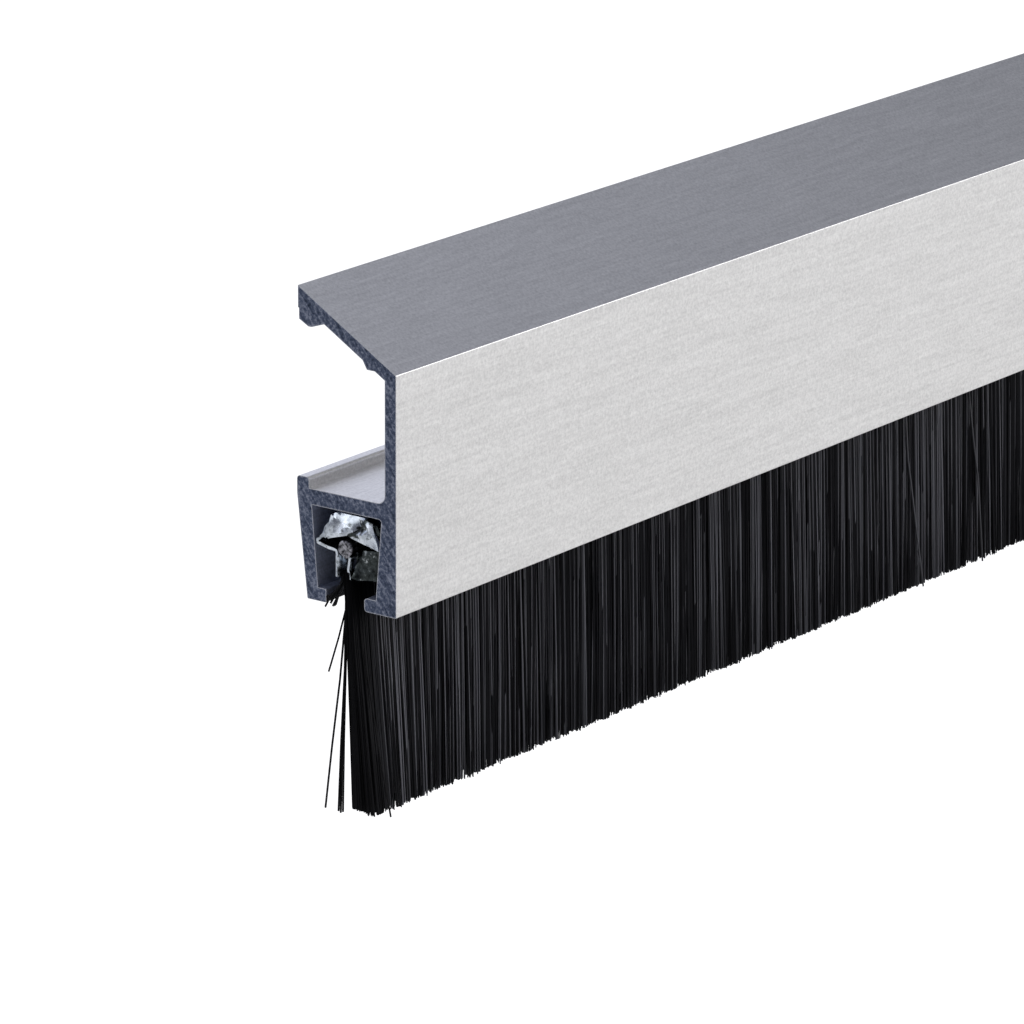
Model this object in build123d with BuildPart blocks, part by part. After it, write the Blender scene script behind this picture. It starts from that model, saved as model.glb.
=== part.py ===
from build123d import *

import os
from math import cos, radians, sin, sqrt, tan

# Brush door sweep: an aluminium profile that sheds rain, with a brush strip in the slot along its lower edge.
# The frame has X along the door, +Y into the door and Z up. Its origin is on the door plane, at mid length,
# in the middle of the narrow back pad that rests on the door.

# Driving dimensions in mm
# The section is measured from the front face towards the door, and up from the profile's lower edge
length = 1000.0
depth = 15.0
front_height = 30.0
flange_slope = 30.8  # degrees

web_wall = 1.7
flange_wall = 1.6
shelf_top = 13.9
shelf_wall = 2.0
upstand_wall = 1.85
upstand_height = 1.35
pad_drop = 0.9  # how far the upright back pad reaches below the shelf's top
back_lean = 6.6  # degrees, of the back wall below the pad

slot_front_wall = 2.2  # at the slot's top
slot_back_wall = 2.25  # at the slot's top
slot_lean = 4.9  # degrees, each side wall closes in downwards
lip_wall = 1.7
front_lip = 1.75
back_lip = 1.25

hook_setback = 0.3  # from the door plane to the flange's back edge
hook_face = 2.75  # height of the upright face along that edge
hook_step = 0.15
hook_depth = 4.85  # from the flange's back edge down to the bead's underside
bead_chamfer = 1.4
bead_rise = 0.75  # of the chamfer's upper edge above the bead's underside
bead_flat = 0.5
bead_toe = 1.9
rib_back = 5.0  # from the front face to the back of the rib under the flange
rib_width = 0.65
rib_drop = 0.7

shelf_fillet = 1.1
edge_round = 0.15
tip_round = 0.45

sheet = 0.5
head_clearance = 0.15  # between the brush channel's head and the slot's top
side_clearance = 0.05  # between the head's fold lines and the slot's walls
head_height = 4.75
head_top_width = 4.5
shoulder_rise = 0.45  # the head's underside climbs by this much towards its folds
stem_width = 2.2
stem_height = 3.2
fold_radius = 0.35  # at the middle of the sheet

wire_diameter = 1.8
wire_clearance = 0.02
bristle_layer = 0.5  # thickness of the bristles round the wire
bristle_clearance = 0.05

brush_reach = 26.5  # from the profile's lower edge down to the longest tips
curtain_drop = 0.4  # the tufts start this far below the channel's legs
tip_lean = 2.0  # how far forward of the channel the middle of the tips is
tip_spread = 3.5  # between the hollows in front and behind, at the tips
tuft_pitch = 2.5
tuft_swell = 0.45
tuft_point = 0.6  # the hollows between the tufts end this much higher than the tips
golden_angle = 137.508  # degrees, makes neighbouring tufts differ

# Heights and places that follow from them
slope = tan(radians(flange_slope))
flange_drop = flange_wall / cos(radians(flange_slope))
flange_end = depth - hook_setback
back_height = front_height + flange_end * slope
slot_top = shelf_top - shelf_wall
pad_bottom = shelf_top - pad_drop
upstand_top = shelf_top + upstand_height
pad_middle = (pad_bottom + upstand_top) / 2
slot_close = tan(radians(slot_lean))
back_close = tan(radians(back_lean))

section = Plane(origin=(-length / 2, -depth, -pad_middle), x_dir=(0, 1, 0), z_dir=(1, 0, 0))


def flange_underside(across):
    """Height of the flange's lower face at a distance from the front face."""
    return front_height + across * slope - flange_drop


def slot_front(height):
    """Where the slot's front wall is at a height."""
    return slot_front_wall + (slot_top - height) * slot_close


def slot_back(height):
    """Where the slot's back wall is at a height."""
    return depth - slot_back_wall - (slot_top - height) * slot_close


def nearest_corners(sketch, *places):
    """The sketch's vertices nearest to the given places."""
    return [sketch.vertices().sort_by_distance(place)[0] for place in places]


# Aluminium profile
front_lip_tip = slot_front(lip_wall) + front_lip
back_lip_tip = slot_back(lip_wall) - back_lip
back_foot = depth - pad_bottom * back_close
rib_toe = rib_back - rib_width
rib_bottom = flange_underside(rib_toe) - rib_drop
rib_front = rib_toe - rib_drop / slope
hook_back = flange_end - hook_step
hook_bottom = back_height - hook_depth
bead_back = hook_back - bead_chamfer
bead_front = bead_back - bead_flat
bead_root = bead_front - bead_toe

with BuildPart() as aluminium_profile:
    with BuildSketch(section) as profile_section:
        # Box round the brush slot, with the shelf on top and the upstand at its back
        Polygon(
            (0, 0),
            (back_foot, 0),
            (depth, pad_bottom),
            (depth, upstand_top),
            (depth - upstand_wall, upstand_top),
            (depth - upstand_wall, shelf_top),
            (0, shelf_top),
            align=None,
        )
        Polygon(
            (slot_front(lip_wall), lip_wall),
            (slot_front(slot_top), slot_top),
            (slot_back(slot_top), slot_top),
            (slot_back(lip_wall), lip_wall),
            align=None,
            mode=Mode.SUBTRACT,
        )
        # Mouth between the lips
        Polygon(
            (front_lip_tip, -lip_wall),
            (front_lip_tip, 2 * lip_wall),
            (back_lip_tip, 2 * lip_wall),
            (back_lip_tip, -lip_wall),
            align=None,
            mode=Mode.SUBTRACT,
        )
        # Front web
        Polygon(
            (0, slot_top),
            (web_wall, slot_top),
            (web_wall, flange_underside(web_wall)),
            (0, front_height),
            align=None,
        )
        # Sloping flange
        Polygon(
            (0, front_height - flange_drop),
            (flange_end, back_height - flange_drop),
            (flange_end, back_height),
            (0, front_height),
            align=None,
        )
        # Hook along the flange's back edge
        Polygon(
            (flange_end, back_height),
            (flange_end, back_height - hook_face),
            (hook_back, back_height - hook_face),
            (hook_back, hook_bottom + bead_rise),
            (bead_back, hook_bottom),
            (bead_front, hook_bottom),
            (bead_root, flange_underside(bead_root)),
            (bead_root, flange_underside(bead_root) + flange_drop / 2),
            align=None,
        )
        # Rib under the flange, behind the web
        Polygon(
            (rib_back, flange_underside(rib_back)),
            (rib_toe, rib_bottom),
            (rib_front, rib_bottom),
            (rib_front, rib_bottom + flange_drop / 2),
            (rib_back, flange_underside(rib_back) + flange_drop / 2),
            align=None,
        )
        fillet(nearest_corners(profile_section, (web_wall, shelf_top)), shelf_fillet)
        fillet(
            nearest_corners(
                profile_section,
                (front_lip_tip, 0),
                (front_lip_tip, lip_wall),
                (depth, upstand_top),
                (depth - upstand_wall, upstand_top),
                (bead_back, hook_bottom),
                (bead_front, hook_bottom),
                (slot_front(slot_top), slot_top),
            ),
            tip_round,
        )
        fillet(
            nearest_corners(
                profile_section,
                (0, 0),
                (0, front_height),
                (back_foot, 0),
                (back_lip_tip, 0),
                (back_lip_tip, lip_wall),
            ),
            edge_round,
        )
    extrude(amount=length)
aluminium_profile.part.label = "aluminium_profile"

# Folded steel channel of the brush strip, drawn along the middle of its sheet
strip_middle = (slot_front(slot_top) + slot_back(slot_top)) / 2
head_top = slot_top - head_clearance
shoulder = head_top - head_height
stem_bottom = shoulder - stem_height
fold_height = shoulder + sheet / 2 + shoulder_rise
head_half = slot_back(fold_height) - strip_middle - side_clearance - sheet / 2
stem_half = (stem_width - sheet) / 2

with BuildPart() as brush_channel:
    with BuildSketch(section):
        with BuildLine():
            FilletPolyline(
                (strip_middle - stem_half, stem_bottom),
                (strip_middle - stem_half, shoulder + sheet / 2),
                (strip_middle - head_half, fold_height),
                (strip_middle - head_top_width / 2, head_top - sheet / 2),
                (strip_middle + head_top_width / 2, head_top - sheet / 2),
                (strip_middle + head_half, fold_height),
                (strip_middle + stem_half, shoulder + sheet / 2),
                (strip_middle + stem_half, stem_bottom),
                radius=fold_radius,
            )
            offset(amount=sheet / 2, side=Side.BOTH)
        make_face()
    extrude(amount=length)
brush_channel.part.label = "brush_channel"

# Core wire, resting on the bristles that wrap it at the top of the channel's stem
wire_radius = wire_diameter / 2
wrap_radius = wire_radius + wire_clearance + bristle_layer
neck_half = stem_width / 2 - sheet - bristle_clearance
seat_reach = wrap_radius + bristle_clearance
wire_height = shoulder + sheet + sqrt(seat_reach**2 - neck_half**2)

with BuildPart() as core_wire:
    with BuildSketch(section):
        with Locations((strip_middle, wire_height)):
            Circle(wire_radius)
    extrude(amount=length)
core_wire.part.label = "core_wire"

# Bristles, as one closed curtain of tufts that leans forward and spreads towards its tips
curtain_top = stem_bottom - curtain_drop
curtain_height = curtain_top + brush_reach
tip_middle = strip_middle - tip_lean
tufts = max(2, round(length / tuft_pitch))
tuft_width = length / tufts


def wander(number):
    """An irregular share from 0 to 1 for a tuft."""
    return (1 + sin(radians(golden_angle * number**2))) / 2


def tuft_middle(number):
    """Where a tuft stands along the sweep."""
    return (number + 0.5) * tuft_width - length / 2


def hanging_outline():
    """Outline of the curtain from the front, with its ragged lower edge."""
    tip_level = -brush_reach - pad_middle
    outline = [(-length / 2, curtain_top - pad_middle), (-length / 2, tip_level + tuft_point)]
    for number in range(tufts):
        middle = tuft_middle(number)
        outline.append((middle, tip_level + tuft_point * wander(number + tufts) / 2))
        outline.append((middle + tuft_width / 2, tip_level + tuft_point))
    return outline + [(length / 2, curtain_top - pad_middle)]


def space_beside_tufts(side):
    """Outline of the space along the curtain's front (side 1) or back (side -1), from above."""
    outline = []
    for number in range(-1, tufts + 1):
        middle = tuft_middle(number)
        swell = tuft_swell * (1 + wander(number)) / 2
        outline += [(middle - tuft_width / 2, 0), (middle, side * swell)]
    return outline + [(length / 2 + tuft_width, side * depth), (-length / 2 - tuft_width, side * depth)]


def slanting_plane(at_top, at_tips):
    """Plane across the line that the curtain's hollows follow from its top to its tips, facing down."""
    return Plane(
        origin=(0, at_top - depth, curtain_top - pad_middle),
        x_dir=(1, 0, 0),
        z_dir=(0, at_tips - at_top, -curtain_height),
    )


with BuildPart() as bristles:
    with BuildSketch(Plane.XZ):
        Polygon(*hanging_outline(), align=None)
    extrude(amount=depth)
    front_plane = slanting_plane(strip_middle - neck_half, tip_middle - tip_spread / 2)
    with BuildSketch(front_plane.offset(-depth)):
        Polygon(*space_beside_tufts(1), align=None)
    extrude(amount=curtain_height + 2 * depth, mode=Mode.SUBTRACT)
    back_plane = slanting_plane(strip_middle + neck_half, tip_middle + tip_spread / 2)
    with BuildSketch(back_plane.offset(-depth)):
        Polygon(*space_beside_tufts(-1), align=None)
    extrude(amount=curtain_height + 2 * depth, mode=Mode.SUBTRACT)
    # Neck between the channel's legs and wrap round the wire
    with BuildSketch(section):
        with Locations((strip_middle, (curtain_top + wire_height) / 2)):
            Rectangle(2 * neck_half, wire_height - curtain_top)
        with Locations((strip_middle, wire_height)):
            Circle(wrap_radius)
            Circle(wire_radius + wire_clearance, mode=Mode.SUBTRACT)
    extrude(amount=length)
bristles.part.label = "bristles"

os.makedirs("parts", exist_ok=True)
export_step(aluminium_profile.part, "parts/aluminium_profile.step")
export_step(brush_channel.part, "parts/brush_channel.step")
export_step(core_wire.part, "parts/core_wire.step")
export_step(bristles.part, "parts/bristles.step")
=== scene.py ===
# %% [markdown]
# # A brush door sweep
#
# A sweep of this kind is fixed along the foot of a door. Its sloping top sheds rain, its open back clips onto
# a rail, and the brush in the slot below closes the gap to the floor. The solids come in as a fixed frame:
# the extruded aluminium profile, the folded steel channel of the brush strip, its core wire and a plain
# curtain for the bristles. This lesson gives them their finish and models what the solids leave plain: the
# crushed end of the steel channel, the bent end of the wire and thousands of separate bristles.

# %% The frame
import math
import random

import bmesh
import bpy
from mathutils import Matrix, Vector, noise


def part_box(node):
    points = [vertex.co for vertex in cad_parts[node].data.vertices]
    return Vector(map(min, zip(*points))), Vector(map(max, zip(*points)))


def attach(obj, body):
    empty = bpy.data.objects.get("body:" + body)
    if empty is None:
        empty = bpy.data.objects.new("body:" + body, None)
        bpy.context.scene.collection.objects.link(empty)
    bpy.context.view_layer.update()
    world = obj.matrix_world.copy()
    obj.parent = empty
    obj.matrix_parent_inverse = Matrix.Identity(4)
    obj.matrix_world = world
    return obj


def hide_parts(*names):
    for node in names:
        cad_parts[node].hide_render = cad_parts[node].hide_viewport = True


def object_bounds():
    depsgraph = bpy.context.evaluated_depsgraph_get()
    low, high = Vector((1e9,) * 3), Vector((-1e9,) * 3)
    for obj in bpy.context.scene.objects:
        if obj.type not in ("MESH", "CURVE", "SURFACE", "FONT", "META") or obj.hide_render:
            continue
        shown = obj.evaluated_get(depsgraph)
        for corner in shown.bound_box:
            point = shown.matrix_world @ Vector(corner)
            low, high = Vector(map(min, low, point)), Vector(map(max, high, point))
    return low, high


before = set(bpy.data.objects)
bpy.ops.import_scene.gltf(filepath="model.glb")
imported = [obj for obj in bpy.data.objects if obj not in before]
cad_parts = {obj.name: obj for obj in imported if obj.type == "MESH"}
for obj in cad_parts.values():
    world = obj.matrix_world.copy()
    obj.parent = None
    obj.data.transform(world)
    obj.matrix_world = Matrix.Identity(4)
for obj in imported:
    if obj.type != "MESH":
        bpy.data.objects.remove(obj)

cad_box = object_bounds()
print("CAD box in metres:", [tuple(round(c, 4) for c in corner) for corner in cad_box])

# %% [markdown]
# ## Places on the sweep
#
# An extrusion is easiest to think of by its section. So places here are given in millimetres: along from the
# sawn end that the camera looks at, across from the front face towards the door, and up from the profile's
# lower edge. One small function turns them into Blender's metres.

# %% Places
MM = 0.001
profile_low, profile_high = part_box("aluminium_profile")
near_end, front_face, lower_edge = profile_low
sweep_length = (profile_high.x - profile_low.x) / MM


def at(along, across, up):
    """A point in metres, from its places along, across and up the sweep in millimetres."""
    return Vector((near_end + along * MM, front_face + across * MM, lower_edge + up * MM))


print(f"the sweep is {sweep_length:.0f} mm long")

# %% [markdown]
# ## The camera
#
# The view is a long-lens product shot of one end, from the left, in front and a little above. A long lens
# from far away keeps the lengthwise edges nearly parallel. The camera turns about Z by its bearing, tips down
# from level, and has a slight roll, which its rotation matrix takes in that order.

# %% Camera
camera_place = at(-535.34, -412.72, 216.15)
camera_bearing = math.radians(53.533)
camera_dip = math.radians(16.701)
camera_roll = math.radians(0.279)
lens_length = 209.36
sensor_width = 36.0
turn = Matrix.Rotation(-camera_bearing, 3, "Z")
tip = Matrix.Rotation(math.pi / 2 - camera_dip, 3, "X")
roll = Matrix.Rotation(camera_roll, 3, "Z")
bpy.ops.object.camera_add(location=camera_place, rotation=(turn @ tip @ roll).to_euler())
camera = bpy.context.object
camera.data.lens = lens_length
camera.data.sensor_width = sensor_width
camera.data.clip_start = 0.01
bpy.context.scene.camera = camera
bpy.context.scene.view_settings.view_transform = "Standard"
print("camera at", tuple(round(c, 3) for c in camera.location))

# %% [markdown]
# ## Nodes
#
# Every finish below is a small node tree. A few helpers keep those trees readable: one starts a material, one
# adds any node with its settings and links, and the others give the result of a common kind of node, such as
# a colour ramp, a noise or a mix.


# %% Node helpers
def start_material(name):
    """A new material, its node tree and its Principled shader."""
    material = bpy.data.materials.new(name)
    material.use_nodes = True
    tree = material.node_tree
    return material, tree, tree.nodes["Principled BSDF"]


def is_socket(value):
    """Whether a value is a socket to link from, and not a plain value."""
    return isinstance(value, bpy.types.NodeSocket)


def add_node(tree, kind, inputs=None, **settings):
    """A node of that kind. Inputs are values, or sockets to link from."""
    node = tree.nodes.new(kind)
    for key, value in settings.items():
        setattr(node, key, value)
    for key, value in (inputs or {}).items():
        if is_socket(value):
            tree.links.new(value, node.inputs[key])
        else:
            node.inputs[key].default_value = value
    return node


def add_ramp(tree, factor, *stops):
    """A colour ramp from pairs of position and colour. Returns its colour socket."""
    ramp = add_node(tree, "ShaderNodeValToRGB", {"Fac": factor})
    elements = ramp.color_ramp.elements
    while len(elements) < len(stops):
        elements.new(0.5)
    for element, (position, colour) in zip(elements, stops):
        element.position = position
        element.color = (*colour, 1.0)
    return ramp.outputs["Color"]


def add_math(tree, operation, first, second=0.0):
    """A math node's result, from two values or sockets."""
    return add_node(tree, "ShaderNodeMath", {0: first, 1: second}, operation=operation).outputs[0]


def add_range(tree, value, from_low, from_high, to_low, to_high):
    """A value carried from one range into another, and kept there."""
    inputs = {"Value": value, 1: from_low, 2: from_high, 3: to_low, 4: to_high}
    return add_node(tree, "ShaderNodeMapRange", inputs).outputs["Result"]


def add_noise(tree, place, scale, detail, roughness, distortion=0.0):
    """A noise texture's value at a place."""
    inputs = {"Vector": place, "Scale": scale, "Detail": detail}
    inputs.update({"Roughness": roughness, "Distortion": distortion})
    return add_node(tree, "ShaderNodeTexNoise", inputs).outputs["Fac"]


def scale_place(tree, place, scale):
    """A place with each of its axes multiplied by its own scale."""
    return add_node(tree, "ShaderNodeVectorMath", {0: place, 1: scale}, operation="MULTIPLY").outputs[0]


def split_axes(tree, vector):
    """The X, Y and Z of a vector."""
    return add_node(tree, "ShaderNodeSeparateXYZ", {0: vector}).outputs


def mix_values(tree, factor, first, second):
    """The value between two values or sockets."""
    return add_node(tree, "ShaderNodeMix", {"Factor": factor, 2: first, 3: second}).outputs[0]


def mix_colours(tree, factor, first, second):
    """The colour between two colours or colour sockets."""
    ends = [end if is_socket(end) else (*end, 1.0) for end in (first, second)]
    inputs = {"Factor": factor, 6: ends[0], 7: ends[1]}
    return add_node(tree, "ShaderNodeMix", inputs, data_type="RGBA").outputs[2]


print("node helpers are ready")

# %% [markdown]
# ## Floor, light and background
#
# Bare metal has hardly any colour of its own: it shows what stands around it. The pale front of this sweep
# mirrors a white floor, its shelf mirrors a bluish white wall behind it, and its sloping top mirrors a darker
# space to the right. So the world is shaded by direction, and white only to the camera. The floor is white to
# the camera and in reflections, and it still takes shadows. The front lamp draws the bright line along the
# rounded front edge, and a small lamp beyond the sawn end makes the crushed steel glint.

# %% Floor
floor_drop = 0.45
floor_size = 30.0
floor_grey = 0.4
glow_seen = 0.95
glow_mirrored = 0.548
bpy.ops.mesh.primitive_plane_add(size=floor_size, location=(0, 0, cad_box[0].z - floor_drop))
floor = bpy.context.object
floor.name = "floor"
floor_white, tree, shader = start_material("floor_white")
shader.inputs["Base Color"].default_value = (floor_grey, floor_grey, floor_grey, 1)
shader.inputs["Roughness"].default_value = 1.0
shader.inputs["Specular IOR Level"].default_value = 0.0
shader.inputs["Emission Color"].default_value = (1, 1, 1, 1)
rays = add_node(tree, "ShaderNodeLightPath").outputs
seen = add_math(tree, "MULTIPLY", rays["Is Camera Ray"], glow_seen)
mirrored = add_math(tree, "MULTIPLY", rays["Is Glossy Ray"], glow_mirrored)
tree.links.new(add_math(tree, "ADD", seen, mirrored), shader.inputs["Emission Strength"])
floor.data.materials.append(floor_white)
print("floor", round(floor_drop / MM), "mm below the brush")

# %% World
world = bpy.data.worlds.new("studio")
bpy.context.scene.world = world
world.use_nodes = True
sky = world.node_tree
compass = split_axes(sky, add_node(sky, "ShaderNodeTexCoord").outputs["Generated"])
side_shade = add_ramp(
    sky,
    add_range(sky, compass["X"], -1.0, 1.0, 0.0, 1.0),
    (0.15, (0.17, 0.172, 0.195)),
    (0.5, (0.27, 0.275, 0.325)),
    (0.85, (0.43, 0.45, 0.533)),
    (0.93, (0.05, 0.055, 0.065)),
)
wall_blue = (0.785, 0.82, 0.97)
behind = add_range(sky, compass["Y"], 0.15, 0.5, 0.0, 1.0)
not_left = add_range(sky, compass["X"], -0.9, -0.3, 0.15, 1.0)
not_above = add_range(sky, compass["Z"], 0.55, 0.8, 1.0, 0.0)
rays = add_node(sky, "ShaderNodeLightPath").outputs
mirrored_wall = add_math(sky, "MULTIPLY", behind, rays["Is Glossy Ray"])
wall_share = add_math(sky, "MULTIPLY", mirrored_wall, add_math(sky, "MULTIPLY", not_left, not_above))
sky_shade = mix_colours(sky, wall_share, side_shade, wall_blue)
sky_seen = mix_colours(sky, rays["Is Camera Ray"], sky_shade, (1.0, 1.0, 1.0))
sky.links.new(sky_seen, sky.nodes["Background"].inputs["Color"])
print("world has", len(sky.nodes), "nodes")


# %% Lamps
def add_softbox(name, place, target, size, power):
    """A square area lamp that faces a target."""
    bpy.ops.object.light_add(type="AREA", location=place)
    lamp = bpy.context.object
    lamp.name = name
    lamp.data.size = size
    lamp.data.energy = power
    lamp.rotation_euler = (Vector(target) - Vector(place)).to_track_quat("-Z", "Y").to_euler()
    return lamp


lamps = [
    add_softbox("back_light", (-0.2, 2.0, 2.6), (0, 0, 0), size=1.6, power=14),
    add_softbox("front_light", (2.0, -2.4, 1.2), (0, 0, 0), size=2.4, power=52),
    add_softbox("end_light", (-2.6, 1.5, 0.75), (near_end, 0, 0), size=1.0, power=4.5),
]
print("soft lamps:", [lamp.name for lamp in lamps])

# %% [markdown]
# ## Anodised aluminium
#
# The profile is the CAD solid itself, because an extrusion has exactly that shape. Only its finish is made
# here. Satin anodised aluminium keeps fine lengthwise streaks from the die and an even grain from etching. A
# shared group makes streaks and grain for any drawn metal. The sawn ends are bare and scratched by the blade,
# and their colour is painted dark and bluish as painted shade. A thin burr along their edges is painted light
# as a painted highlight. They are found by the way they face. The rougher walls of the brush slot, whose
# colour is painted darker and bluer as painted shade, are found by their place in the section.

# %% Drawn-metal grain group
drawn_grain = bpy.data.node_groups.new("drawn_grain", "ShaderNodeTree")
for socket_name, socket_way, socket_type in (
    ("Place", "INPUT", "NodeSocketVector"),
    ("Streak Length", "INPUT", "NodeSocketFloat"),
    ("Streak Width", "INPUT", "NodeSocketFloat"),
    ("Grain Size", "INPUT", "NodeSocketFloat"),
    ("Streaks", "OUTPUT", "NodeSocketFloat"),
    ("Grain", "OUTPUT", "NodeSocketFloat"),
):
    drawn_grain.interface.new_socket(socket_name, in_out=socket_way, socket_type=socket_type)
group_in = add_node(drawn_grain, "NodeGroupInput").outputs
group_out = add_node(drawn_grain, "NodeGroupOutput").inputs
along_scale = add_math(drawn_grain, "DIVIDE", 1.0, group_in["Streak Length"])
across_scale = add_math(drawn_grain, "DIVIDE", 1.0, group_in["Streak Width"])
grain_scale = add_math(drawn_grain, "DIVIDE", 1.0, group_in["Grain Size"])
scales = {"X": along_scale, "Y": across_scale, "Z": across_scale}
streak_scale = add_node(drawn_grain, "ShaderNodeCombineXYZ", scales).outputs[0]
streak_place = scale_place(drawn_grain, group_in["Place"], streak_scale)
streaks = add_noise(drawn_grain, streak_place, 1.0, detail=3.0, roughness=0.6)
grain = add_noise(drawn_grain, group_in["Place"], grain_scale, detail=2.0, roughness=0.7)
drawn_grain.links.new(streaks, group_out["Streaks"])
drawn_grain.links.new(grain, group_out["Grain"])
print("group drawn_grain has", len(drawn_grain.nodes), "nodes")

# %% Satin faces
grain_share = 0.65
anodised, tree, shader = start_material("anodised_aluminium")
place = add_node(tree, "ShaderNodeTexCoord").outputs["Object"]
satin = {"Place": place, "Streak Length": 9 * MM, "Streak Width": 0.4 * MM, "Grain Size": 0.36 * MM}
drawn = add_node(tree, "ShaderNodeGroup", satin, node_tree=drawn_grain).outputs
even = mix_values(tree, grain_share, drawn["Streaks"], drawn["Grain"])
silver = add_ramp(tree, even, (0.3, (0.62, 0.612, 0.598)), (0.7, (0.9, 0.89, 0.872)))
silver_rough = add_range(tree, even, 0.3, 0.7, 0.36, 0.4)
print("satin faces take", len(tree.nodes), "nodes")

# %% Sawn ends
blade_angle = math.radians(-52)
mark_length = 4.5 * MM
mark_width = 0.5 * MM
mottle_size = 0.45 * MM
mottle_share = 0.58
burr_width = 0.25 * MM
face_way = add_node(tree, "ShaderNodeNewGeometry").outputs["True Normal"]
end_way = add_math(tree, "ABSOLUTE", split_axes(tree, face_way)["X"])
sawn_mask = add_math(tree, "GREATER_THAN", end_way, 0.9)
blade_way = add_node(tree, "ShaderNodeMapping", {"Vector": place, "Rotation": (blade_angle, 0, 0)})
blade_place = scale_place(tree, blade_way.outputs[0], (1 / MM, 1 / mark_length, 1 / mark_width))
blade_marks = add_noise(tree, blade_place, 1.0, detail=3.0, roughness=0.65)
mottle = add_noise(tree, place, 1 / mottle_size, detail=4.0, roughness=0.7)
sawn_tone = mix_values(tree, mottle_share, blade_marks, mottle)
# The sawn face's colour is painted dark and bluish as painted shade; its blade marks and mottle are its own
sawn_marks_in_painted_shade = add_ramp(
    tree,
    sawn_tone,
    (0.36, (0.021, 0.029, 0.048)),
    (0.5, (0.09, 0.11, 0.168)),
    (0.62, (0.295, 0.32, 0.395)),
)
sawn_rough = add_range(tree, sawn_tone, 0.35, 0.65, 0.45, 0.6)
# A thin band along the sawn face's edges is painted light as a painted highlight of the burr
rounded_way = add_node(tree, "ShaderNodeBevel", {"Radius": burr_width}, samples=4).outputs["Normal"]
edge_turn = add_node(tree, "ShaderNodeVectorMath", {0: rounded_way, 1: face_way}, operation="DOT_PRODUCT")
burr_painted_highlight_mask = add_range(tree, edge_turn.outputs["Value"], 0.985, 0.85, 0.0, 0.9)
sawn_with_painted_burr_highlight = mix_colours(tree, burr_painted_highlight_mask, sawn_marks_in_painted_shade, (0.75, 0.76, 0.79))
print("satin faces and sawn ends take", len(tree.nodes), "nodes")

# %% Slot walls
slot_low = at(0, 1.75, 0.9)
slot_high = at(0, 13.6, 12.05)
slot_rough = 0.7
section_place = split_axes(tree, place)
inside_mask = 1.0
for axis, low, high in (("Y", slot_low.y, slot_high.y), ("Z", slot_low.z, slot_high.z)):
    above = add_math(tree, "GREATER_THAN", section_place[axis], low)
    below = add_math(tree, "LESS_THAN", section_place[axis], high)
    inside_mask = add_math(tree, "MULTIPLY", inside_mask, add_math(tree, "MULTIPLY", above, below))
# Inside the slot the same anodised metal is rougher, and its colour is painted darker and bluer as painted
# shade
slot_painted_shade_tone = add_ramp(tree, even, (0.3, (0.36, 0.39, 0.48)), (0.7, (0.6, 0.64, 0.77)))
silver_and_slot_painted_shade = mix_colours(tree, inside_mask, silver, slot_painted_shade_tone)
wall_rough = mix_values(tree, inside_mask, silver_rough, slot_rough)
print("with the slot's walls there are", len(tree.nodes), "nodes")

# %% The whole aluminium finish
tree.links.new(mix_colours(tree, sawn_mask, silver_and_slot_painted_shade, sawn_with_painted_burr_highlight), shader.inputs["Base Color"])
tree.links.new(mix_values(tree, sawn_mask, wall_rough, sawn_rough), shader.inputs["Roughness"])
shader.inputs["Metallic"].default_value = 1.0
relief = mix_values(tree, sawn_mask, even, sawn_tone)
bump = add_node(tree, "ShaderNodeBump", {"Height": relief, "Strength": 0.2, "Distance": 0.02 * MM})
tree.links.new(bump.outputs["Normal"], shader.inputs["Normal"])
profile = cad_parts["aluminium_profile"]
profile.data.materials.clear()
profile.data.materials.append(anodised)
print("aluminium finish has", len(tree.nodes), "nodes")

# %% [markdown]
# ## The brush channel
#
# The brush strip is held by a folded sheet-steel channel with an arrow-shaped head, which slides into the
# profile's slot. It could be lofted from rings, but a folded sheet is best made the way it is folded: a plane
# for one leg, then its edge is extruded round the folds and the folds are bevelled. The saw has crushed the
# end in view. So that end is cut into small faces, whose points are pushed to where the saw left them, and a
# Solidify modifier then gives the sheet its thickness.


# %% Selecting in edit mode
def only(piece):
    """Makes a piece the only selected and active object."""
    bpy.ops.object.select_all(action="DESELECT")
    piece.select_set(True)
    bpy.context.view_layer.objects.active = piece


def select_parts(piece, kind, test):
    """In edit mode, selects the vertices, edges or faces of a piece that pass a test, and nothing else."""
    bpy.ops.mesh.select_mode(type=kind)
    bpy.ops.mesh.select_all(action="DESELECT")
    mesh = bmesh.from_edit_mesh(piece.data)
    for part in {"VERT": mesh.verts, "EDGE": mesh.edges, "FACE": mesh.faces}[kind]:
        if test(part):
            part.select_set(True)
    bmesh.update_edit_mesh(piece.data)


def cut_rings(places):
    """In edit mode, cuts a piece square across at places along the sweep in millimetres."""
    for along in places:
        bpy.ops.mesh.select_all(action="SELECT")
        bpy.ops.mesh.bisect(plane_co=at(along, 0, 0), plane_no=(1, 0, 0))


print("selection helpers are ready")

# %% The folded section
channel_low, channel_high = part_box("brush_channel")
strip_across = ((channel_low.y + channel_high.y) / 2 - front_face) / MM
leg_foot = (channel_low.z - lower_edge) / MM
sheet = 0.38
head_up = (channel_high.z - lower_edge) / MM - sheet / 2
shoulder_up = leg_foot + 3.45
fold_up = shoulder_up + 0.45
leg_half = 0.85
fold_half = 4.6
head_half = 2.25
folds = [
    (strip_across - leg_half, leg_foot),
    (strip_across - leg_half, shoulder_up),
    (strip_across - fold_half, fold_up),
    (strip_across - head_half, head_up),
    (strip_across + head_half, head_up),
    (strip_across + fold_half, fold_up),
    (strip_across + leg_half, shoulder_up),
    (strip_across + leg_half, leg_foot),
]
print(f"the channel's head is {2 * fold_half:.1f} mm wide over its folds")

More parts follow.
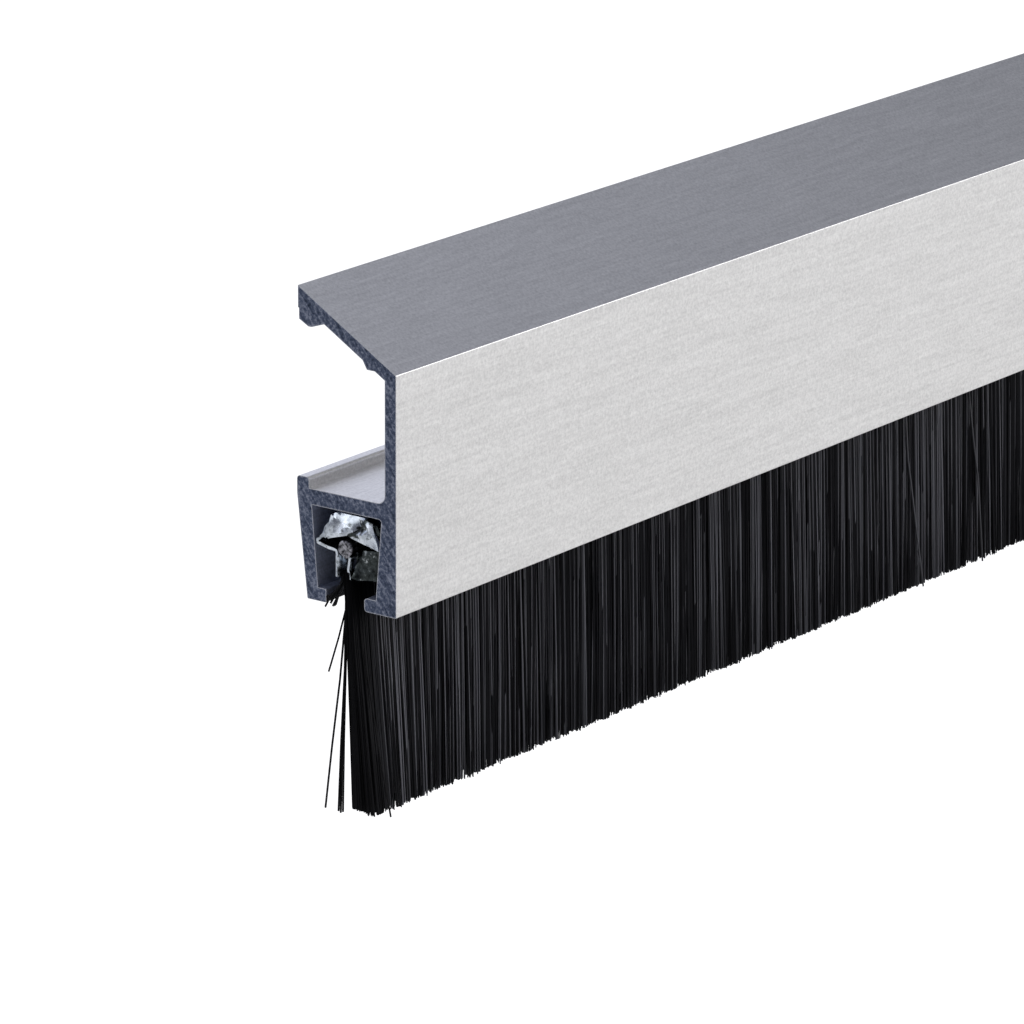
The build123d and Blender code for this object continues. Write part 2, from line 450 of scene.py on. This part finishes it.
# %% Folding the channel
fold_round = 0.35
leg_middle = at(sweep_length / 2, folds[0][0], (leg_foot + shoulder_up) / 2)
foot_level = at(0, 0, leg_foot).z
bpy.ops.object.select_all(action="DESELECT")
bpy.ops.mesh.primitive_plane_add(size=1, location=leg_middle, rotation=(math.pi / 2, 0, 0))
channel = bpy.context.object
channel.name = "crushed_brush_channel"
channel.scale = (sweep_length * MM, (shoulder_up - leg_foot) * MM, 1)
bpy.ops.object.transform_apply(location=True, rotation=True, scale=True)


def is_fold(edge):
    """Whether an edge runs along the sheet and is not the foot of a leg."""
    start, end = (vertex.co for vertex in edge.verts)
    return abs(start.x - end.x) > sweep_length / 2 * MM and start.z > foot_level + MM


bpy.ops.object.mode_set(mode="EDIT")
select_parts(channel, "EDGE", lambda edge: all(v.co.z > leg_middle.z for v in edge.verts))
for corner, following in zip(folds[1:], folds[2:]):
    bpy.ops.mesh.extrude_region_move(TRANSFORM_OT_translate={"value": at(0, *following) - at(0, *corner)})
select_parts(channel, "EDGE", is_fold)
bpy.ops.mesh.bevel(offset=fold_round * MM, segments=3)
bpy.ops.object.mode_set(mode="OBJECT")
print("the folded sheet has", len(channel.data.polygons), "faces")

# %% Cutting its end into small faces
crushed_length = 12.0
flap_length = 0.9
end_length = 1.2
bpy.ops.object.mode_set(mode="EDIT")
cut_rings((0.05, 0.18, 0.36, 0.54, 0.72, flap_length, end_length, 2.0, 4.0, 7.0, crushed_length))


def cut_end(place, way):
    """Cuts the faces near the saw cut along a plane."""
    end_zone = at(end_length, 0, 0).x
    select_parts(channel, "FACE", lambda face: face.calc_center_median().x < end_zone)
    bpy.ops.mesh.bisect(plane_co=place, plane_no=way)


for across in (3.4, 4.1, 4.8, 5.5, 7.0, 7.5, 8.2, 8.9, 9.4, 10.1, 10.8, 11.5):
    cut_end(at(0, across, 0), (0, 1, 0))
for up in (4.6, 5.4, 6.2, 8.6, 9.4, 10.3):
    cut_end(at(0, 0, up), (0, 0, 1))
bpy.ops.object.mode_set(mode="OBJECT")
print("with its end cut up, the sheet has", len(channel.data.polygons), "faces")

# %% The tear and the crease
# The saw has torn the front shoulder from its leg: a sliver is cut out between them
tear_low = 6.1
tear_high = 6.25
bpy.ops.object.mode_set(mode="EDIT")
for across in (tear_low, tear_high):
    cut_end(at(0, across, 0), (0, 1, 0))


def in_tear(face):
    """Whether a face lies in the torn sliver."""
    middle = face.calc_center_median()
    across_ok = at(0, tear_low, 0).y < middle.y < at(0, tear_high, 0).y
    return across_ok and middle.x < at(flap_length, 0, 0).x and middle.z < at(0, 0, fold_up).z


select_parts(channel, "FACE", in_tear)
bpy.ops.mesh.delete(type="FACE")
# The flap's slanting crease runs from the head's front corner to the middle of its free edge
crease_foot = 7.2
crease_top = strip_across - head_half
crease_way = Vector((crease_foot - crease_top, flap_length, 0)).normalized()
for beside in (-0.35, -0.12, 0.25, 0.5, 0.75):
    cut_end(at(0, crease_foot + beside, 0), crease_way)
bpy.ops.object.mode_set(mode="OBJECT")
print("with tear and crease, the sheet has", len(channel.data.polygons), "faces")


# %% Where the saw left the sheet
def girth_of(across, up):
    """How far round the folded section a point lies, from the front leg's foot."""
    best_gap, best_girth, travelled = 1e9, 0.0, 0.0
    point = Vector((across, up))
    for start, end in zip(folds, folds[1:]):
        start, end = Vector(start), Vector(end)
        run = end - start
        share = min(1.0, max(0.0, (point - start).dot(run) / run.length_squared))
        gap = (start + run * share - point).length
        if gap < best_gap:
            best_gap, best_girth = gap, travelled + run.length * share
        travelled += run.length
    return best_girth


# Each row holds a point of the clean section, its shift along, across and up at the cut, and that shift's
# reach along the sweep
crushes = [
    ((6.62, 3.8), (0.0, 0.6, 0.1), 6.0),
    ((6.62, 6.2), (0.0, 0.55, 0.0), 6.0),
    ((6.62, 7.1), (0.0, 0.3, -0.8), 8.0),
    ((6.25, 7.15), (0.0, 0.55, -0.5), 8.0),
    ((6.1, 7.2), (0.3, 0.75, -3.6), flap_length),
    ((4.5, 7.4), (0.5, 0.0, -3.45), flap_length),
    ((3.3, 7.55), (0.6, -0.45, -3.4), flap_length),
    ((2.9, 7.8), (0.55, -0.1, -1.0), 0.7),
    ((3.3, 8.5), (0.5, -0.5, 0.1), 1.4),
    ((4.3, 10.2), (0.4, -1.6, 0.1), 1.4),
    ((5.2, 11.5), (0.3, -1.5, -0.3), 0.7),
    ((5.5, 11.5), (0.25, -2.85, -3.4), flap_length),
    ((6.1, 11.5), (0.0, -1.5, -3.1), flap_length),
    ((7.0, 11.5), (0.0, -0.5, -2.5), flap_length),
    ((7.4, 11.5), (0.0, 0.0, -2.35), flap_length),
    ((8.2, 11.5), (0.0, -0.2, -2.5), flap_length),
    ((9.4, 11.5), (0.0, -0.1, -2.8), 0.7),
    ((9.9, 11.2), (0.0, 0.2, -2.8), 0.55),
    ((10.9, 9.6), (0.0, 0.3, -1.5), 0.45),
    ((12.0, 7.8), (0.0, -0.05, 0.0), 1.0),
    ((10.2, 7.5), (0.0, 0.1, -0.2), 3.0),
    ((9.0, 7.25), (0.0, 0.1, -0.2), 3.0),
    ((8.4, 7.1), (0.0, 0.55, -0.5), 3.0),
    ((8.32, 6.0), (0.0, 0.75, 0.0), 1.4),
    ((8.32, 3.8), (0.0, 0.7, 0.05), 1.4),
]
crush_girths = [girth_of(*clean) for clean, _, _ in crushes]


def crush_at(girth):
    """The shift at the saw cut, and its reach along the sweep, for a point that lies so far round."""
    following = next((i for i, g in enumerate(crush_girths) if g >= girth), len(crushes) - 1)
    before = max(0, following - 1)
    span = crush_girths[following] - crush_girths[before]
    share = min(1.0, max(0.0, (girth - crush_girths[before]) / span)) if span > 0 else 0.0
    shift = Vector(crushes[before][1]).lerp(Vector(crushes[following][1]), share)
    reach = crushes[before][2] + (crushes[following][2] - crushes[before][2]) * share
    return shift, reach


print("the saw moved", len(crushes), "places of the section")

# %% Where the steel is painted dark
front_shoulder, front_fold, head_front, head_back = (girth_of(*fold) for fold in folds[1:5])
plate_start = front_shoulder + 0.3
plate_top = front_fold + 0.8
plate_length = 3.0
# Painted shadow along the crease; the torn front plate and the slope above it are painted dark, and the
# plate's lower edge a little less dark, as a painted highlight
crease_painted_shadow = 1.0
plate_darkness = 1.0
slope_darkness = 0.6
edge_painted_highlight_darkness = 0.8
edge_bent = 0.98
crease_shadow_left = 0.55
crease_shadow_right = -0.15


def darkness_at(along, girth, bent, past_crease):
    """How dark a point is painted, 0 to 1: painted shadow in the crease, dark plate, painted highlight at its
    edge.
    """
    if head_front < girth < head_back:
        return crease_painted_shadow if bent > 0 and crease_shadow_right < past_crease < crease_shadow_left else 0.0
    if along < plate_length and plate_start < girth < head_front:
        if bent > edge_bent:
            return edge_painted_highlight_darkness
        return plate_darkness if girth < plate_top else slope_darkness
    return 0.0


print(f"the front plate is {head_front - plate_start:.1f} mm round")

# %% Pushing the points
# A fixed seed gives the same dents in each run
noise.seed_set(6)
dent_size = 1.0
dent_depth = 0.3
smooth_girth = girth_of(10.9, 9.6)
smooth_share = 0.3
crease_depth = 0.3
crease_width = 1.5
crease_least = 0.1
flap_bulge = 0.25
head_sink = 0.35
head_margin = 0.4
painted_darkness = channel.data.attributes.new("painted_darkness", "FLOAT", "POINT")
for vertex in channel.data.vertices:
    along = (vertex.co.x - near_end) / MM
    if along > crushed_length:
        continue
    across = (vertex.co.y - front_face) / MM
    girth = girth_of(across, (vertex.co.z - lower_edge) / MM)
    shift, reach = crush_at(girth)
    bent = max(0.0, 1 - along / reach)
    dent = noise.noise_vector(at(along, girth, 3 * bent) / (dent_size * MM))
    dent = dent * dent_depth * min(1.0, 2 * bent)
    if girth > smooth_girth:
        dent *= smooth_share
    moved = shift * bent + dent
    past_crease = across - (crease_top + (crease_foot - crease_top) * bent)
    # Each point keeps how dark it is painted: painted shadow along the crease, darker plate, painted edge
    # highlight
    painted_darkness.data[vertex.index].value = darkness_at(along, girth, bent, past_crease)
    if head_front < girth < head_back:
        # Left of the crease the flap is pushed in, and right of it the flap bulges out in front
        if past_crease > 0:
            moved.x += crease_depth * bent * max(crease_least, 1 - past_crease / crease_width)
        else:
            moved.x -= flap_bulge * math.sin(math.pi * bent)
    if head_front - head_margin < girth < head_back + head_margin:
        moved.z -= head_sink * (1 - along / crushed_length)
    if bent > 0 and reach <= flap_length:
        moved.x = max(moved.x, sheet / 2 - along)
    vertex.co += Vector((max(moved.x, -along), moved.y, moved.z)) * MM
print("the flap is", flap_length, "mm deep, with dents of", dent_depth, "mm")

# %% Sheet thickness
sharp_fold = math.radians(14)
solidify = channel.modifiers.new("sheet_thickness", "SOLIDIFY")
solidify.thickness = sheet * MM
solidify.offset = 0.0
only(channel)
bpy.ops.object.modifier_apply(modifier=solidify.name)
bpy.ops.object.mode_set(mode="EDIT")
bpy.ops.mesh.select_all(action="SELECT")
bpy.ops.mesh.normals_make_consistent(inside=False)
bpy.ops.object.mode_set(mode="OBJECT")
bpy.ops.object.shade_smooth_by_angle(angle=sharp_fold)
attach(channel, "root")
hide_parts("brush_channel")
print("the channel with its crushed end has", len(channel.data.polygons), "faces")

# %% [markdown]
# ## Zinc-coated sheet
#
# Bright zinc on steel is shiny, with soft cloudy patches where the coat dried. The crushed end has picked up
# dark smears of oil and saw dust. In the crease the colour is painted dark as a painted shadow, and the torn
# plate in front and the slope above it are painted dark too, a little lighter at the plate's lower edge as a
# painted highlight. One noise makes the clouds, another the smears, and the points' own darkness, made ragged
# by the smears, says where the colour is painted dark.

# %% Zinc finish
cloud_size = 1.6 * MM
smear_size = 0.8 * MM
zinc, tree, shader = start_material("zinc_coat")
place = add_node(tree, "ShaderNodeTexCoord").outputs["Object"]
clouds = add_noise(tree, place, 1 / cloud_size, detail=3.0, roughness=0.5, distortion=0.6)
smears = add_noise(tree, place, 1 / smear_size, detail=5.0, roughness=0.7)
bright = add_ramp(tree, clouds, (0.36, (0.36, 0.4, 0.445)), (0.6, (0.74, 0.795, 0.86)))
smear_mask = add_range(tree, smears, 0.54, 0.66, 0.0, 0.85)
smeared = mix_colours(tree, smear_mask, bright, (0.07, 0.08, 0.08))
# The painted dark colour: a painted shadow in the crease, and the darker torn plate with a few light specks
painted_dark_colour = add_ramp(
    tree,
    smears,
    (0.35, (0.012, 0.014, 0.014)),
    (0.57, (0.06, 0.07, 0.07)),
    (0.66, (0.5, 0.53, 0.54)),
)
# How dark each point is painted: painted shadow in the crease, dark plate, lighter edge as painted highlight
darkness_amount = add_node(tree, "ShaderNodeAttribute", attribute_name="painted_darkness").outputs["Fac"]
ragged_darkness = add_math(tree, "ADD", darkness_amount, add_range(tree, smears, 0.0, 1.0, -0.5, 0.5))
painted_dark_share = add_range(tree, ragged_darkness, 0.35, 0.6, 0.0, 1.0)
tree.links.new(mix_colours(tree, painted_dark_share, smeared, painted_dark_colour), shader.inputs["Base Color"])
tree.links.new(add_range(tree, clouds, 0.3, 0.7, 0.14, 0.3), shader.inputs["Roughness"])
shader.inputs["Metallic"].default_value = 1.0
bump = add_node(tree, "ShaderNodeBump", {"Height": clouds, "Strength": 0.3, "Distance": 0.05 * MM})
tree.links.new(bump.outputs["Normal"], shader.inputs["Normal"])
channel.data.materials.append(zinc)
print("zinc finish has", len(tree.nodes), "nodes")

# %% [markdown]
# ## The core wire
#
# A steel wire runs inside the channel's head, and the bristles are folded over it. The crushed head has bent
# the wire's end down towards the legs, and the saw has left a rough burr on it. A cylinder gets a small bevel
# on its rims, its end is inset, and it is cut into rings near that end. The rings are then lowered along a
# curve, and the last ones swell and are dented.

# %% Wire
wire_low, wire_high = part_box("core_wire")
wire_radius = (wire_high.z - wire_low.z) / 2
wire_middle = (wire_low + wire_high) / 2
rim_bevel = 0.12
end_insets = (0.2, 0.25, 0.25)
bent_length = 16.0
bpy.ops.object.select_all(action="DESELECT")
bpy.ops.mesh.primitive_cylinder_add(
    vertices=18,
    radius=wire_radius,
    depth=sweep_length * MM,
    location=wire_middle,
    rotation=(0, math.pi / 2, 0),
)
wire = bpy.context.object
wire.name = "bent_core_wire"
bpy.ops.object.transform_apply(location=True, rotation=True, scale=True)
bpy.ops.object.mode_set(mode="EDIT")
select_parts(wire, "EDGE", lambda edge: abs(edge.verts[0].co.x - edge.verts[1].co.x) < MM)
bpy.ops.mesh.bevel(offset=rim_bevel * MM, segments=2)
for inset in end_insets:
    select_parts(wire, "FACE", lambda face: face.calc_center_median().x < near_end + 0.01 * MM)
    bpy.ops.mesh.inset(thickness=inset * MM)
cut_rings((0.3, 0.6, 1.5, 3.0, 5.0, 7.5, 10.0, 13.0, bent_length))
bpy.ops.object.mode_set(mode="OBJECT")
print("the straight wire has", len(wire.data.polygons), "faces")

# %% Bending its end
wire_bend = Vector((0, 0.3, -1.7)) * MM
burr_length = 0.8
burr_swell = 0.22
burr_dent = 0.22
burr_size = 0.9
sharp_rim = math.radians(40)
for vertex in wire.data.vertices:
    along = (vertex.co.x - near_end) / MM
    burred_share = max(0.0, 1 - along / burr_length)
    outward = Vector((0, vertex.co.y - wire_middle.y, vertex.co.z - wire_middle.z))
    dent = noise.noise_vector(vertex.co / (burr_size * MM)) * burr_dent * MM
    dent.x = abs(dent.x)
    vertex.co += (outward * burr_swell + dent) * burred_share
    vertex.co += wire_bend * max(0.0, 1 - along / bent_length) ** 2
bpy.ops.object.shade_smooth_by_angle(angle=sharp_rim)
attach(wire, "root")
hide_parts("core_wire")
print(f"the wire's end is bent by {wire_bend.length / MM:.1f} mm")

# %% Wire finish
steel, tree, shader = start_material("wire_steel")
place = add_node(tree, "ShaderNodeTexCoord").outputs["Object"]
wiry = {"Place": place, "Streak Length": 6 * MM, "Streak Width": 0.12 * MM, "Grain Size": 0.5 * MM}
drawn = add_node(tree, "ShaderNodeGroup", wiry, node_tree=drawn_grain).outputs
dull_steel = add_ramp(tree, drawn["Grain"], (0.38, (0.03, 0.03, 0.035)), (0.64, (0.42, 0.42, 0.45)))
tree.links.new(dull_steel, shader.inputs["Base Color"])
tree.links.new(add_range(tree, drawn["Streaks"], 0.3, 0.7, 0.35, 0.55), shader.inputs["Roughness"])
shader.inputs["Metallic"].default_value = 1.0
wire.data.materials.append(steel)
print("wire finish has", len(tree.nodes), "nodes")

# %% [markdown]
# ## The bristles
#
# A brush seal holds dozens of filaments in each millimetre. Hair particles would not become meshes, and one
# cylinder each would be far too heavy. So each filament is one thin spline of a curve object, with a few
# points from the channel's legs to its trimmed tip. A triangle bevels all the splines at once, and the curve
# is then made a mesh. Neighbours lean together in clumps, which leaves the dark gaps that a brush shows. The
# whole brush is combed a little towards the sawn end, where the filaments' colour is painted darker as
# painted shade. Shorter ones without clumps fill the middle of the pack, so that no light shows through.

# %% Bristle section
bristle_thick = 0.19
section_corners = 3
chance = random.Random(20)
bpy.ops.curve.primitive_bezier_circle_add(radius=bristle_thick / 2 * MM)
bristle_section = bpy.context.object
bristle_section.data.splines.clear()
corner_spline = bristle_section.data.splines.new("POLY")
corner_spline.points.add(section_corners - 1)
for number, point in enumerate(corner_spline.points):
    angle = 2 * math.pi * number / section_corners
    point.co = (math.cos(angle) * bristle_thick / 2 * MM, math.sin(angle) * bristle_thick / 2 * MM, 0, 1)
corner_spline.use_cyclic_u = True
print("bristles are", bristle_thick, "mm thick")

# %% Bristle meshes
# Towards the sawn end the filaments' colour is painted darker as painted shade
end_shade_length = 7.0
end_shade_least = 0.15


def shade_painted_darker_at_end(along):
    """A filament's shade from 0 to 1, at random, and painted darker towards the sawn end as painted shade."""
    return chance.random() * min(1.0, end_shade_least + along / end_shade_length)


def make_bristles(name, routes, width=1.0):
    """A mesh of filaments that follow routes, each with its own shade from 0 to 1 in an attribute."""
    curve = bpy.data.curves.new(name, "CURVE")
    curve.dimensions = "3D"
    curve.bevel_mode = "OBJECT"
    curve.bevel_object = bristle_section
    for route in routes:
        spline = curve.splines.new("POLY")
        spline.points.add(len(route) - 1)
        spline.points.foreach_set("co", [c for point in route for c in (*point, 1.0)])
        spline.points.foreach_set("radius", [width] * len(route))
    piece = bpy.data.objects.new(name, curve)
    bpy.context.scene.collection.objects.link(piece)
    only(piece)
    bpy.ops.object.convert(target="MESH")
    piece = bpy.context.object
    piece.name = name
    bpy.ops.object.mode_set(mode="EDIT")
    bpy.ops.mesh.select_all(action="SELECT")
    bpy.ops.mesh.fill_holes(sides=section_corners)
    bpy.ops.object.mode_set(mode="OBJECT")
    shades = []
    for route in routes:
        shades += [shade_painted_darker_at_end((route[0].x - near_end) / MM)] * (len(route) * section_corners)
    shade = piece.data.attributes.new("shade", "FLOAT", "POINT")
    shade.data.foreach_set("value", shades)
    bpy.ops.object.shade_smooth()
    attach(piece, "root")
    print(name, "has", len(routes), "filaments and", len(piece.data.polygons), "faces")
    return piece


print("bristle helpers are ready")

# %% How the bristles lean
comb_lean = 3.2
comb_length = 22.0
wide_lean = 0.6
wide_rate = 0.11
narrow_lean = 0.6
narrow_rate = 0.8


def combed(along):
    """How far the brush is combed towards the sawn end, which fades out at both ends."""
    return comb_lean * min(1.0, along / comb_length, (sweep_length - along) / comb_length)


def clump_noise(along, rate, row, layer):
    """A value from -1 to 1 that neighbours nearly share. A low rate makes wide clumps."""
    return noise.noise(Vector((along * rate, row, layer)))


def clump_lean(along, layer):
    """How far the tips of neighbouring filaments of a layer lean along the sweep."""
    wide = clump_noise(along, wide_rate, 3.7, layer)
    narrow = clump_noise(along, narrow_rate, 8.1, 1.4 * layer)
    return wide_lean * wide + narrow_lean * narrow - combed(along)


print("the brush is combed by", comb_lean, "mm")

# %% Routes of the bristles
root_up = leg_foot + 0.8
neck_half = 0.5
pack_depth = 2.7
settle_length = 140.0
tip_front_start = 4.1
tip_front_settled = 0.5
tip_up_start = -26.05
tip_up_settled = 0.75
tip_scatter = 0.06
tip_clumps = 0.3
tip_rate = 0.9
across_scatter = 0.12
lean_scatter = 0.2
lean_curve = 1.4
end_rise = 0.4
long_share = 0.006
long_least = 0.1
long_most = 0.4
# Each pair holds a share of a filament's length and how far the outer layers swell there
bows = ((0.0, 0.0), (0.3, 0.06), (0.65, 0.05), (1.0, 0.0))


def bristle_route(along, layer):
    """One filament's points, from the channel's legs to its tip. Layers run from -1 in front to 1 behind."""
    settled = min(1.0, along / settle_length)
    tip_front = tip_front_start - tip_front_settled * settled
    tip_up = tip_up_start - tip_up_settled * settled + chance.gauss(0, tip_scatter)
    tip_up += tip_clumps * clump_noise(along, tip_rate, 5.3, layer)
    tip_up += end_rise * (1 + layer) * max(0.0, 1 - along / end_shade_length)
    if chance.random() < long_share:
        tip_up -= chance.uniform(long_least, long_most)
    tip_across = tip_front + pack_depth * (1 + layer) / 2 + chance.gauss(0, across_scatter)
    root_across = strip_across + neck_half * layer
    lean = clump_lean(along, layer) + chance.gauss(0, lean_scatter)
    tip_along = min(sweep_length, max(0.1, along + lean))
    places = []
    for share, bow in bows:
        up = root_up + (tip_up - root_up) * share
        across = root_across + (tip_across - root_across) * (share + bow * layer)
        places.append(at(along + (tip_along - along) * share**lean_curve, across, up))
    return places


core_tip_across = 5.3
core_tip_up = -25.0
core_across_scatter = 0.1
core_up_scatter = 0.2
core_lean_scatter = 0.04


def core_route(along):
    """A filament in the middle of the pack, a little shorter than its neighbours and in no clump."""
    tip_across = core_tip_across + chance.gauss(0, core_across_scatter)
    tip_up = core_tip_up + chance.gauss(0, core_up_scatter)
    tip_along = along - combed(along) + chance.gauss(0, core_lean_scatter)
    return [at(along, strip_across, root_up), at(tip_along, tip_across, tip_up)]


print(f"the brush reaches about {tip_up_settled - tip_up_start:.1f} mm below the profile")

# %% Hanging the bristles
bristles_per_mm = 40
core_per_mm = 6
end_bunch = 110
bunch_places = (0.1, 2.5)
bunch_layers = (0.1, 1.0)
front_bias = 1.3
section_length = 200.0
brush = []
for number in range(round(sweep_length / section_length)):
    start = number * section_length
    routes = []
    for i in range(round(section_length * bristles_per_mm)):
        along = start + (i + chance.random()) / bristles_per_mm
        layer = 2 * chance.random() ** front_bias - 1
        routes.append(bristle_route(along, layer))
    if number == 0:
        # The sawn end is packed more tightly at the back, where the channel is crushed
        for _ in range(end_bunch):
            along = chance.uniform(*bunch_places)
            layer = chance.uniform(*bunch_layers)
            routes.append(bristle_route(along, layer))
    core_count = round(section_length * core_per_mm)
    routes += [core_route(start + (i + 0.5) / core_per_mm) for i in range(core_count)]
    brush.append(make_bristles(f"bristles_{number + 1}", routes))
    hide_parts("bristles")

# %% Stray bristles at the sawn end
stray_width = 1.6
tuft_size = 9
stray_routes = [
    [at(0.3, 7.9, 3.6), at(0.3, 7.8, 0.0), at(0.4, 9.1, -4.2), at(0.3, 10.56, -8.75)],
    [at(0.4, 7.9, 3.6), at(0.3, 7.9, -1.0), at(0.2, 8.73, -9.4), at(0.1, 9.9, -18.0), at(0.1, 10.97, -26.2)],
    [at(0.5, 7.9, 3.6), at(0.3, 7.9, -2.0), at(0.2, 8.0, -8.0), at(0.1, 8.5, -17.0), at(0.1, 8.96, -26.2)],
    [at(0.5, 7.9, 3.6), at(0.4, 7.9, -2.0), at(0.3, 8.0, -8.0), at(0.2, 8.4, -17.0), at(0.2, 8.7, -26.4)],
    [at(0.6, 7.9, 3.6), at(0.5, 7.9, -2.0), at(0.4, 8.0, -8.0), at(0.4, 8.3, -17.0), at(0.4, 8.5, -26.3)],
    [at(0.2, 8.0, 4.0), at(0.2, 8.6, 2.6), at(0.2, 10.0, 0.9), at(0.2, 10.9, -0.6)],
    [at(0.4, 7.9, 3.8), at(0.4, 8.3, 2.6), at(0.4, 9.2, 0.9), at(0.4, 9.9, -0.4)],
    [at(1.2, 6.6, 3.0), at(1.4, 5.6, -8.0), at(2.06, 4.2, -18.5), at(3.1, 3.3, -26.6)],
    [at(121.0, 6.6, 3.0), at(121.0, 5.6, -9.0), at(121.3, 4.0, -19.7), at(121.6, 3.0, -26.8)],
    [at(136.4, 6.6, 3.0), at(136.7, 5.0, -9.9), at(136.9, 4.2, -15.3), at(136.7, 3.0, -26.9)],
]


def tuft_along():
    """A place along the sweep within the bent tuft."""
    return chance.uniform(0.2, 0.9)


# A bent tuft behind the back lip
for _ in range(tuft_size):
    spread = chance.uniform(0.0, 1.0)
    stray_routes.append([
        at(tuft_along(), 8.0, 4.0),
        at(tuft_along(), 8.5, 2.6),
        at(tuft_along(), 9.1 + 0.7 * spread, 1.0 + 0.3 * spread),
        at(tuft_along(), 9.4 + 1.3 * spread, 0.3 + chance.uniform(-0.7, 0.4)),
    ])
strays = make_bristles("stray_bristles", stray_routes, stray_width)

# %% [markdown]
# ## Black filament
#
# The filaments are black plastic with a dull sheen along their sides. Each has its own shade at random, and
# the lightest few are painted grey as painted highlights, as if they catch more light than their neighbours.

# %% Bristle finish
black, tree, shader = start_material("black_bristle")
shade = add_node(tree, "ShaderNodeAttribute", attribute_name="shade").outputs["Fac"]
# The top of the ramp paints the lightest filaments grey as painted highlights
blacks_and_painted_highlights = add_ramp(
    tree,
    shade,
    (0.0, (0.002, 0.002, 0.003)),
    (0.65, (0.028, 0.028, 0.032)),
    (1.0, (0.35, 0.35, 0.37)),
)
tree.links.new(blacks_and_painted_highlights, shader.inputs["Base Color"])
tree.links.new(add_range(tree, shade, 0.0, 1.0, 0.55, 0.35), shader.inputs["Roughness"])
shader.inputs["Specular IOR Level"].default_value = 0.12
for piece in (*brush, strays):
    piece.data.materials.append(black)
bpy.data.objects.remove(bristle_section)
print("bristle pieces:", len(brush) + 1)
